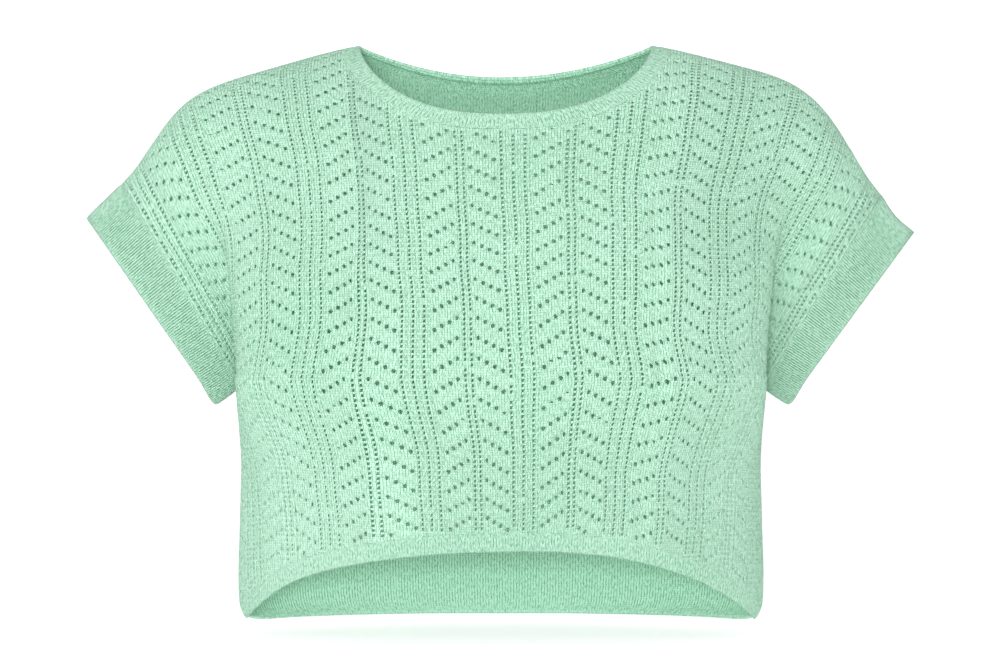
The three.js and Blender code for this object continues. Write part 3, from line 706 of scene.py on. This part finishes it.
def knit_material(name, wale, course, grain, shade, light, rib_pitch=None):
    """Cotton yarn knitted plain: slanting legs of yarn, soft, with the yarn's own mottle, their crowns
    painted lighter and painted shade between them. Ribbing has its ribs as well where the cloth
    carries the value "ribbed", with painted shade in the grooves between them, and lace has slits so
    narrow that they stay closed between the wide ladders, painted dark as painted shade. The inside is
    painted lighter and more saturated: painted light."""
    material = bpy.data.materials.new(name)
    material.use_nodes = True
    tree = material.node_tree
    shader = tree.nodes["Principled BSDF"]
    start = Field(tree, None)
    stitches = start.node("ShaderNodeUVMap", {"uv_map": "stitches"})
    across = stitches.node("ShaderNodeSeparateXYZ", Vector=stitches) * 1000
    along = stitches.node("ShaderNodeSeparateXYZ", output=1, Vector=stitches) * 1000
    place = start.node("ShaderNodeTexCoord", output=3)
    sway = place.node("ShaderNodeTexNoise", Vector=place, Scale=420.0, Detail=2.0) - 0.5
    turn = (across + sway * 1.1) / wale
    legs = (turn * 2).fract() * 2 - 1
    leg = 1 - legs * legs
    slant = (turn.fract() * 2 - 1).absolute()
    twist = (((along + sway * 0.9) / course - slant * 0.45) * (2 * np.pi)).sine() * 0.5 + 0.5
    fluff = place.node("ShaderNodeTexNoise", Vector=place, Scale=1500.0, Detail=3.0)
    stroke_place = start.node("ShaderNodeCombineXYZ", X=across / grain[0],
                              Y=along / grain[1] - slant * 0.7)
    strokes = place.node("ShaderNodeTexNoise", Vector=stroke_place, Scale=1.0, Detail=1.0)
    wide = place.node("ShaderNodeTexNoise", Vector=place, Scale=9.0, Detail=2.0)
    if rib_pitch:
        ribbed = start.node("ShaderNodeAttribute", {"attribute_name": "ribbed"}, output=2)
        uneven = place.node("ShaderNodeTexNoise", Vector=place, Scale=230.0, Detail=2.0)
        # Painted shade: the grooves between the ribs are painted darker as well as pressed in by the
        # bump.
        groove_relief_and_shade = ((across + sway * 1.8) * (2 * np.pi / rib_pitch)).cosine()
        groove_relief_and_shade = groove_relief_and_shade * ribbed * (uneven * 1.4 - 0.28)
    else:
        repeat = ((across - LADDER_START) / LACE_WIDTH).fract() * LACE_WIDTH
        row = ((along - WAVE_RISE) / (HOLE_ROW + BAR_ROW)).fract()
        # Painted shade: the narrow slits along the grooves are painted dark as well as pressed in by
        # the bump.
        slits = 0
        for groove in SLIT_LINES:
            slits = slits + (repeat - (row - 0.3) * 1.1 - groove).absolute().between(0.85, 0.3)
        groove_relief_and_shade = slits * row.between(0.72, 0.5) * (row.between(0, 0.12) * (sway * 3 + 0.8)) * -0.5
        # Painted shade: the gaps between the wales are painted darker as well as pressed in.
        groove_relief_and_shade = groove_relief_and_shade + 0.1 - slant.between(0.5, 1.0) * (twist * 0.7 + 0.3) * 0.5
    height = leg * 0.5 + leg * twist * 0.45 + fluff * 0.3 + strokes * 0.9 + groove_relief_and_shade
    # Painted shade: the legs are painted lighter on their crowns and darker between them, and the
    # grooves and slits add their painted shade; the noises are the yarn's random mottle.
    tone = (leg * 0.12 + leg * twist * 0.16 + (strokes - 0.5) * 2.2 + (fluff - 0.5) * 0.7
            + (wide - 0.5) * 0.35 + groove_relief_and_shade + 0.48)
    share = tone.between(0.0, 1.0)
    inside = start.node("ShaderNodeAttribute", {"attribute_name": "inside"}, output=2)
    # Painted light: the inside is painted lighter and more saturated than the outside, for the light
    # inside the garment.
    base = inside.blend(share.blend(shade, light), share.blend(INSIDE_GLOW_SHADE, INSIDE_GLOW_LIGHT))
    tree.links.new(base.socket, shader.inputs["Base Color"])
    relief = height.node("ShaderNodeBump", Height=height, Strength=0.9, Distance=0.0007)
    tree.links.new(relief.socket, shader.inputs["Normal"])
    shader.inputs["Roughness"].default_value = 0.92
    shader.inputs["Specular IOR Level"].default_value = 0.15
    shader.inputs["Sheen Weight"].default_value = 0.08
    shader.inputs["Sheen Roughness"].default_value = 0.5
    return material


lace_knit = knit_material("lace_knit", 2.3, 1.83, (0.85, 3.2), YARN_SHADE, YARN_LIGHT)
repeat_tree = knit_repeat()
TILES = (9, 34)
lace = read_knitting(with_tree(lace_motif(), repeat_tree, Columns=TILES[0], Rows=TILES[1],
                               Width=LACE_WIDTH, Height=LACE_HEIGHT, Weld=0.02,
                               Material=lace_knit), vectors=("shift",), values=("hole",))


def sewn_in(points, normals, half, on_seam, thickness, relief):
    """Outer and inner points of one half, held to its own side of the seams."""
    facing = FACING[half]
    normals = normals.copy()
    normals[on_seam, 1] = 0
    normals /= np.linalg.norm(normals, axis=1, keepdims=True)
    outer = points + normals * relief[:, None]
    inner = outer - normals * np.broadcast_to(thickness, len(points))[:, None]
    outer[on_seam, 1] = facing * SEAM_GAP / 2
    for side in (outer, inner):
        side[:, 1] = facing * np.maximum(facing * side[:, 1], SEAM_GAP / 2)
    return outer, inner


def course_places():
    """Where the rows of the pattern lie, as its stitches are longer at the waist and the neck."""
    steps = np.arange(-200.0, 340.0)
    stretch = smooth_curve(*COURSE_STRETCH)(steps)
    rows = np.concatenate([[0], np.cumsum(2 / (stretch[1:] + stretch[:-1]))])
    return rows - np.interp(LACE_START, steps, rows), steps


def lace_panel(half, cloth, open_holes):
    surface, edges, (armpit, right_corner, left_corner) = cloth
    points, quads, shift, hole = lace
    span = np.array([LACE_WIDTH, LACE_HEIGHT]) * (np.array(TILES) - 1)
    first = np.array([LADDER_START - LACE_WIDTH * (TILES[0] // 2), -LACE_HEIGHT * 20])
    stitches = points[:, :2] + first + span / 2
    moved, home = stitches.copy(), stitches - shift[:, :2]
    for flat in (home, moved):
        stretched = PATTERN_TURN + (flat[:, 0] - PATTERN_TURN) / PATTERN_STRETCH
        flat[:, 0] = np.where(flat[:, 0] > PATTERN_TURN, stretched, flat[:, 0])
        flat[:, 1] = np.interp(flat[:, 1], *course_places())
    sway = 0.5 * np.sin(home[:, 1] / 17 + home[:, 0] / 61) + 0.3 * np.sin(home[:, 1] / 9.3 + 2)
    rise = np.zeros(len(home))
    if half == "front":
        lean = np.interp(home[:, 1], LEAN_LEVELS, LEAN)
        lean += np.interp(home[:, 1], LEAN_LEVELS, LEAN_SPREAD) * home[:, 0]
        fade = np.clip((LEAN_FADE[1] - np.abs(home[:, 0])) / (LEAN_FADE[1] - LEAN_FADE[0]), 0, 1)
        sway += lean * fade * fade * (3 - 2 * fade)
        rise = np.interp(home[:, 0], *RISE) + np.interp(home[:, 1], *RISE_BELOW)
    nudge = np.zeros(len(home))
    lines = np.unique(np.round(home[:, 0], 3))
    for mark in (-CUFF_WALE, -armpit, -right_corner, left_corner, armpit, CUFF_WALE):
        nearest = lines[np.argmin(np.abs(lines - mark))]
        near = np.maximum(0, 1 - np.abs(home[:, 0] - nearest) / CORNER_REACH)
        nudge += (mark - nearest) * near
        sway *= 1 - np.minimum(1, near * CORNER_HOLD)
    for flat in (home, moved):
        flat[:, 0] += nudge + sway
        flat[:, 1] += rise
    holes = quads[hole > 0]
    centre = moved[holes].mean(axis=1)
    drawn = np.interp(np.abs(centre[:, 0]), *DRAWN_SHUT) * np.clip(1 - centre[:, 1] / 60, 0.3, 1)
    inward = np.zeros_like(moved)
    for corner in holes.T:
        np.add.at(inward, corner, (centre - moved[corner]) * drawn[:, None])
    moved += inward
    loose = np.random.default_rng(5).normal(size=moved.shape) * LOOSE
    moved += np.where(np.abs(shift).max(axis=1, keepdims=True) > 0.05, loose, 0)

    def limits(u):
        low = np.interp(u, edges["wale"], edges["low"])
        low = np.where(np.abs(u) > armpit + 1e-3, 0, low)
        return low, np.interp(u, edges["wale"], edges["top"])

    def inside(flat, margin):
        clear = np.abs(flat[:, 0]) < CUFF_WALE - margin
        for aside in (-0.8 * margin, 0, 0.8 * margin):
            low, top = limits(flat[:, 0] + aside)
            clear &= (flat[:, 1] > low + margin) & (flat[:, 1] < top - margin)
        return clear

    flat = np.where(inside(home, 1.6)[:, None], moved, home)
    u = np.clip(flat[:, 0], -CUFF_WALE, CUFF_WALE)
    low, top = limits(u)
    beyond = (np.abs(flat[:, 0]) > CUFF_WALE + 1e-6) | (flat[:, 1] < low) | (flat[:, 1] > top)
    clipped = np.stack([u, np.clip(flat[:, 1], low, top)], 1)
    stitches = stitches + clipped - flat
    flat = clipped
    outside = beyond[quads].all(axis=1)
    corners = home[quads]
    middle = corners.mean(axis=1)
    middle[:, 1] = np.where(hole == 2, corners[:, :, 1].max(axis=1), middle[:, 1])
    middle[:, 1] = np.where(hole == 3, corners[:, :, 1].min(axis=1), middle[:, 1])
    by_cuff = np.abs(middle[:, 0]) > PLAIN_FROM
    wanted = np.where(by_cuff, (hole == 1) | (hole == 4), (hole > 0) & (hole < 4))
    wanted &= np.random.default_rng(3).random(len(middle)) > HOLES_LOST[half]
    wanted &= open_holes | (hole != 3)
    open_hole = inside(middle, EDGE_MARGIN) & wanted
    _, kept, welded = np.unique(np.round(flat, 3), axis=0, return_index=True, return_inverse=True)
    flat, shift, stitches = flat[kept], shift[kept], stitches[kept]
    welded = welded.ravel()[quads]
    triangles = to_triangles(flat, welded[~open_hole & ~outside])
    relief = shift[:, 2] + np.random.default_rng(7).normal(size=len(flat)) * 0.06
    relief = np.where(inside(flat, 2), relief, 0) - 0.15
    if not open_holes:
        pits = welded[open_hole]
        bottom = len(flat) + np.arange(len(pits))
        flat = np.concatenate([flat, flat[pits].mean(axis=1)])
        stitches = np.concatenate([stitches, stitches[pits].mean(axis=1)])
        relief = np.concatenate([relief, np.full(len(pits), -PIT_DEPTH)])
        fans = [np.stack([pits[:, k], pits[:, (k + 1) % 4], bottom], 1) for k in range(4)]
        triangles = np.concatenate([triangles] + fans)

    points, normals = surface.at(flat[:, 0], flat[:, 1])
    low, top = limits(flat[:, 0])
    reach = np.abs(flat[:, 0])
    shoulder = (flat[:, 1] > top - 1e-3) & (flat[:, 0] > left_corner - 1e-3)
    shoulder |= (flat[:, 1] > top - 1e-3) & (flat[:, 0] < 1e-3 - right_corner)
    side = (np.abs(reach - armpit) < 1e-3) & (flat[:, 1] < 1e-3)
    underarm = (reach > armpit - 1e-3) & (np.abs(flat[:, 1]) < 1e-3)
    outer, inner = sewn_in(points, normals, half, shoulder | side | underarm,
                           LACE_THICKNESS, relief)
    seam = ~inside(flat, 0.05)
    return cloth_wall(half + "_lace", outer, inner, stitches, triangles, seam, 0, 0, lace_knit)


def as_cloth(piece, node, slot, flat, area):
    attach(piece, "root")
    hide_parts(node)


cloth = {half: hang_cloth(half) for half in ("front", "back")}
as_cloth(lace_panel("front", cloth["front"], True), "front_panel", "lace_knit",
         (0.696, 0.45), 0.209)
as_cloth(lace_panel("back", cloth["back"], False), "back_panel", "lace_knit",
         (0.696, 0.45), 0.2155)

# ---- Hem bands ----------------------------------------------------------------------------------
# Ribbing knitted on from the lower edges of the front and the back: a narrow band along the arched
# front, a deep one across the back, both joined in the side seams with the panels.
BAND_THICKNESS = 1.54
RIB_PITCH = 2.3
RIB_SHADE = (0.2, 0.46, 0.295, 1)        # ribbing is closer, and its colours are a little darker than the lace's
RIB_LIGHT = (0.515, 0.79, 0.625, 1)
TUCK = 0.45               # the first of a band is hidden in the seam
RIB_WAVE = (1.0, 0.0, -1.0, 0.0, 1.0)
HEM_RIBS = {"front": 216, "back": 200}
HEM_ROWS = {"front": 8, "back": 18}


def rib_motif():
    points = [(k / 4, row, RIB_WAVE[k]) for row in (0, 1) for k in range(5)]
    faces = [(k, k + 1, k + 6, k + 5) for k in range(4)]
    return stitch_motif("rib_motif", points, faces)


def ribbed_band(name, place, width, ribs, rows, height, closed, half=None, lining=1):
    """Ribbing laid on a surface. Place gives a point and its outward direction at a share of the
    way round and a share of the way down, and height the swell, the depth of the ribs and the
    thickness there. Lining is how far the ribs show on the inside."""
    points, quads = read_knitting(with_tree(rib_motif(), repeat_tree, Columns=ribs, Rows=rows,
                                            Width=1.0, Height=1.0, Weld=0.01, Material=rib_knit))
    around = (points[:, 0] + (ribs - 1) / 2) / ribs
    down = 1 - (points[:, 1] + (rows - 1) / 2) / rows
    tuck = TUCK / width
    down = np.where(down > 0, (down * rows - 1) / (rows - 1) * (1 - tuck) + tuck, 0)
    wave = points[:, 2]
    around, down = np.clip(around, 0, 1), np.clip(down, 0, 1)
    if closed:
        around = np.where(around > 1 - 0.1 / ribs, 0, around)
        _, kept, welded = np.unique(np.round(np.stack([around, down], 1), 6), axis=0,
                                    return_index=True, return_inverse=True)
        around, down, wave = around[kept], down[kept], wave[kept]
        quads = welded.ravel()[quads]
    points, normals = place(around, down)
    length = ribs * RIB_PITCH
    swell, depth, thickness = height(down)
    uneven = np.random.default_rng(11).normal(size=len(around)) * 0.04
    relief = swell + depth * wave + uneven * (depth > 0)
    ribbed = np.clip(depth / 0.4, 0, 1)
    flat = np.stack([around * length, (1 - down) * width], 1)
    seams = (around < 1e-6) | (around > 1 - 1e-6)
    if closed:
        outer = points + normals * relief[:, None]
        inner = outer - normals * thickness[:, None]
        wrapped = flat[quads]
        wrapped[:, :, 0] += np.where(wrapped[:, :, 0].max(axis=1, keepdims=True)
                                     - wrapped[:, :, 0] > length / 2, length, 0)
        corner = np.arange(quads.size).reshape(-1, 4)
        flat = wrapped.reshape(-1, 2)
        used = quads.ravel()
        _, kept, welded = np.unique(np.round(flat, 4), axis=0, return_index=True,
                                    return_inverse=True)
        flat, used = flat[kept], used[kept]
        triangles = to_triangles(flat, welded.ravel()[corner])
        outer, inner, ribbed = outer[used], inner[used], ribbed[used]
    else:
        outer, inner = sewn_in(points, normals, half, seams, thickness, relief)
        triangles = to_triangles(flat, quads)
    seam = flat[:, 1] > width - 1e-3
    if not closed:
        seam |= seams
    return cloth_wall(name, outer, inner, flat, triangles, seam, ribbed, lining, rib_knit)


rib_knit = knit_material("rib_knit", RIB_PITCH, 1.75, (1.1, 2.8), RIB_SHADE, RIB_LIGHT, RIB_PITCH)


def hem_place(half):
    surface, edges, (armpit, _, _) = cloth[half]

    def place(around, down):
        u = (2 * around - 1) * armpit
        low = np.interp(u, edges["wale"], edges["low"]) + SEAM_LAP
        hem = np.interp(u, edges["wale"], edges["hem"])
        return surface.at(u, low + (hem - low) * down)

    return place


def hem_height(half):
    def height(down):
        reach = down * HEM_BAND[half]
        if half == "front":
            body = np.interp(reach, (0, 0.5, 2, 9, 12, 14.5), (0, 0.14, 0.12, 0.1, 0.5, 0.2))
            ribs = np.interp(reach, (0, 3, 5, 9, 11, 14.5), (0, 0.06, 0.16, 0.16, 0.03, 0))
        else:
            body = np.interp(reach, (0, 0.5, 2, 52, 55.5, 59), (0, 0.14, 0.1, 0.1, 0.4, 0.15))
            ribs = np.interp(reach, (0, 2, 5, 50, 53, 59), (0, 0.1, 0.34, 0.34, 0.08, 0.03))
        edge = HEM_BAND[half] - reach
        roll = np.interp(edge, (0, 3, 6), (0.5, 0.9, 0)) * (half == "back")
        return body - 0.3, ribs, BAND_THICKNESS - np.interp(reach, (0, 0.5), (0.3, 0)) + roll

    return height


HEM_FLAT = {"front": ((0.0145, 0.49), 0.0066), "back": ((0.059, 0.466), 0.0273)}
for half in ("front", "back"):
    piece = ribbed_band("hem_rib_" + half, hem_place(half), HEM_BAND[half], HEM_RIBS[half],
                        HEM_ROWS[half], hem_height(half), False, half)
    as_cloth(piece, "hem_band_" + half, "rib_knit", *HEM_FLAT[half])

# ---- Neckband -----------------------------------------------------------------------------------
# A ring of ribbing knitted on round the neck opening. It starts plain at the panels, has short
# ribs across its middle, and its free edge rolls over into a smooth cord.
NECK_BAND = 14.5
NECK_RIBS = 212
NECK_ROWS = 16
RING_LINE = 12            # the line whose length is taken, near the middle of the width
RING_LAP = 20             # points repeated beyond either end of a ring
RING_MARGIN = 12
RING_STEPS = 1200


def ring_surface(ring, shares, sign):
    """The surface of a ring of cloth, carried on past both ends so that it closes smoothly, and
    its length round."""
    middle = ring[:, RING_LINE]
    run = run_of(np.concatenate([middle, middle[:1]]))
    ring = np.concatenate([ring[-RING_LAP:], ring, ring[:RING_LAP + 1]])
    along = np.concatenate([run[-1 - RING_LAP:-1] - run[-1], run[:-1],
                            run[:RING_LAP + 1] + run[-1]])
    even = np.linspace(-RING_MARGIN, run[-1] + RING_MARGIN, RING_STEPS)
    points = np.stack([point_at(ring[:, k], along, even) for k in range(len(shares))], axis=1)
    return Surface(even, shares, points, sign, smoothing=4), run[-1]


def neck_ring():
    turns = np.linspace(0, np.pi, 241)
    shares = np.linspace(0, 1.04, 27)
    ring = []
    for half, angles in (("front", turns[:-1]), ("back", turns[::-1][:-1])):
        sides = np.cos(angles) > 0
        opening = np.where(sides, SLEEVES[1]["opening"], SLEEVES[0]["opening"])
        deep = NECK_DROP[half] + NECKBAND_DROP * shares
        across, down = NECK_CURVE[half]
        x = opening[:, None] + NECKBAND_SIDE * shares
        x = x * np.abs(np.cos(angles))[:, None] ** (2 / across)
        below = deep * np.abs(np.sin(angles))[:, None] ** (2 / down)
        points = np.empty(x.shape + (3,))
        for sleeve, on in ((SLEEVES[1], sides), (SLEEVES[0], ~sides)):
            height = shoulder_height(sleeve, x[on])
            course = course_of(BODY_LEVEL * below[on] / (BODY_LEVEL + height))
            share = x[on] / body_section(half, course)["width"]
            points[on] = body_point(half, sleeve, course, share)
            points[on, :, 0] *= sleeve["side"]
        ring.append(points)
    return ring_surface(np.concatenate(ring), shares, 1)


neck_surface, neck_length = neck_ring()


def neck_place(around, down):
    share = (1 - down) * (1 + SEAM_LAP / NECKBAND_SIDE)
    return neck_surface.at(around * neck_length, share)


def neck_height(down):
    reach = down * NECK_BAND
    body = np.interp(reach, (0, 0.5, 3, 10, 11, 12.5, 14, 14.5),
                     (0, 0.14, 0.1, 0.1, 0.5, 0.75, 0.4, 0))
    ribs = np.interp(reach, (0, 2.5, 4, 8.5, 9.8, 14.5), (0, 0, 0.17, 0.17, 0, 0))
    roll = np.interp(reach, (0, 9.4, 10.3, 12, 14.5), (0, 0, 1.7, 2.3, 0.9))
    return body - 0.3, ribs, BAND_THICKNESS - np.interp(reach, (0, 0.5), (0.3, 0)) + roll


as_cloth(ribbed_band("neck_rib", neck_place, NECK_BAND, NECK_RIBS, NECK_ROWS, neck_height, True,
                     lining=0.1), "neckband", "rib_knit", (0.0142, 0.64), 0.0086)

# ---- Cuffs --------------------------------------------------------------------------------------
# Fine ribbing knitted on round the end of each sleeve, its ribs square to the free edge, which
# rolls over a little.
CUFF_BAND = 32
CUFF_RIBS = 220
CUFF_ROWS = 12
CUFF_SAG = 3.5            # how far the cuff hangs below its seam under the arm


def cuff_ring(sleeve):
    around = np.sin(np.pi / 2 * np.linspace(0, 1, 161)) ** 4
    shares = np.linspace(-0.04, 1, 27)[:, None]
    ring = []
    for half, places in (("front", around[:-1]), ("back", around[::-1][:-1])):
        start = np.stack([sleeve_ring(half, sleeve["seam"], t) for t in places])
        end = np.stack([sleeve_ring(half, sleeve["edge"], t) for t in places])
        dip = sleeve["dip"] * (1 - places[:, None, None]) ** 6 * np.sin(np.pi * np.abs(shares))
        sag = CUFF_SAG * np.exp(-((1 - places[:, None, None]) / 0.08) ** 2)
        ring.append(start[:, None] + (end - start)[:, None] * shares
                    - dip * np.array([0.74, 0, 0.67])
                    - sag * np.sin(np.pi / 2 * shares) * np.array([0, 0, 1]))
    ring = np.concatenate(ring)
    ring[:, :, 0] *= sleeve["side"]
    return ring_surface(ring, shares.ravel(), sleeve["side"])


def cuff_place(sleeve):
    surface, length = cuff_ring(sleeve)

    def place(around, down):
        lap = SEAM_LAP / CUFF_BAND
        under = np.abs(around - 0.5) * length
        end = 1 - 0.06 * np.exp(-(under / 8) ** 2)
        return surface.at(around * length, (end + lap) * down - lap)

    return place


def cuff_height(down):
    reach = down * CUFF_BAND
    body = np.interp(reach, (0, 0.5, 5, 25.5, 28, 30.5, 32), (0, 0.14, 0.1, 0.1, 0.25, 0.35, 0))
    ribs = np.interp(reach, (0, 1, 3, 27, 29.5, 32), (0, 0.2, 0.5, 0.5, 0.15, 0.04))
    return body - 0.3, ribs, BAND_THICKNESS - np.interp(reach, (0, 0.5), (0.3, 0))


for sleeve in SLEEVES:
    as_cloth(ribbed_band("cuff_rib_" + sleeve["name"], cuff_place(sleeve), CUFF_BAND, CUFF_RIBS,
                         CUFF_ROWS, cuff_height, True),
             "cuff_" + sleeve["name"], "rib_knit", (0.039, 0.443), 0.013)

# ---- Floor, backdrop and light ------------------------------------------------------------------
# A pale floor of paper that curves up into a low round wall, and soft lights.
PAPER_LEVEL = -0.4715
PAPER_FLAT = 5.5          # radius of the flat floor, in metres, as are the next three
PAPER_BEND = 1.5
PAPER_WALL = 7
PAPER_TOP = 3
PAPER_SIDES = 64
turns = np.linspace(0, 2 * np.pi, PAPER_SIDES + 1)[:-1]
profile = [(PAPER_FLAT + PAPER_BEND * np.sin(t), PAPER_BEND * (1 - np.cos(t)))
           for t in np.linspace(0, np.pi / 2, 9)]
profile.append((PAPER_WALL, PAPER_TOP))
points = [(0, 0, PAPER_LEVEL)]
points += [(r * np.cos(a), r * np.sin(a), PAPER_LEVEL + z) for r, z in profile for a in turns]
faces = [(0, 1 + i, 1 + (i + 1) % PAPER_SIDES) for i in range(PAPER_SIDES)]
for k in range(len(profile) - 1):
    low = 1 + PAPER_SIDES * k
    high = low + PAPER_SIDES
    for i in range(PAPER_SIDES):
        after = (i + 1) % PAPER_SIDES
        faces.append((low + i, high + i, high + after, low + after))
paper = bpy.data.meshes.new("paper")
paper.from_pydata(points, [], faces)
paper.polygons.foreach_set("use_smooth", [True] * len(paper.polygons))
paper_material = bpy.data.materials.new("paper")
paper_material.use_nodes = True
paper_shader = paper_material.node_tree.nodes["Principled BSDF"]
paper_shader.inputs["Base Color"].default_value = (0.55, 0.55, 0.55, 1)
paper_shader.inputs["Roughness"].default_value = 1
paper_shader.inputs["Emission Color"].default_value = (1, 1, 1, 1)
paper_shader.inputs["Emission Strength"].default_value = 0.67
paper.materials.append(paper_material)
new_piece("paper", paper)

world = bpy.data.worlds.new("studio")
world.use_nodes = True
world.node_tree.nodes["Background"].inputs["Color"].default_value = (1, 1, 1, 1)
world.node_tree.nodes["Background"].inputs["Strength"].default_value = 0.57
bpy.context.scene.world = world
bpy.context.scene.view_settings.view_transform = "Standard"


def soft_light(name, place, aim, size, power):
    data = bpy.data.lights.new(name, "AREA")
    data.shape = "SQUARE"
    data.size = size
    data.energy = power
    light = bpy.data.objects.new(name, data)
    light.location = place
    light.rotation_euler = (Vector(aim) - Vector(place)).to_track_quat("-Z", "Y").to_euler()
    bpy.context.scene.collection.objects.link(light)


soft_light("key", (-0.9, -2.6, 1.9), (0, 0, -0.25), 2.2, 28)
soft_light("fill", (-0.2, -2.4, -0.1), (0, 0, -0.25), 0.4, 21)
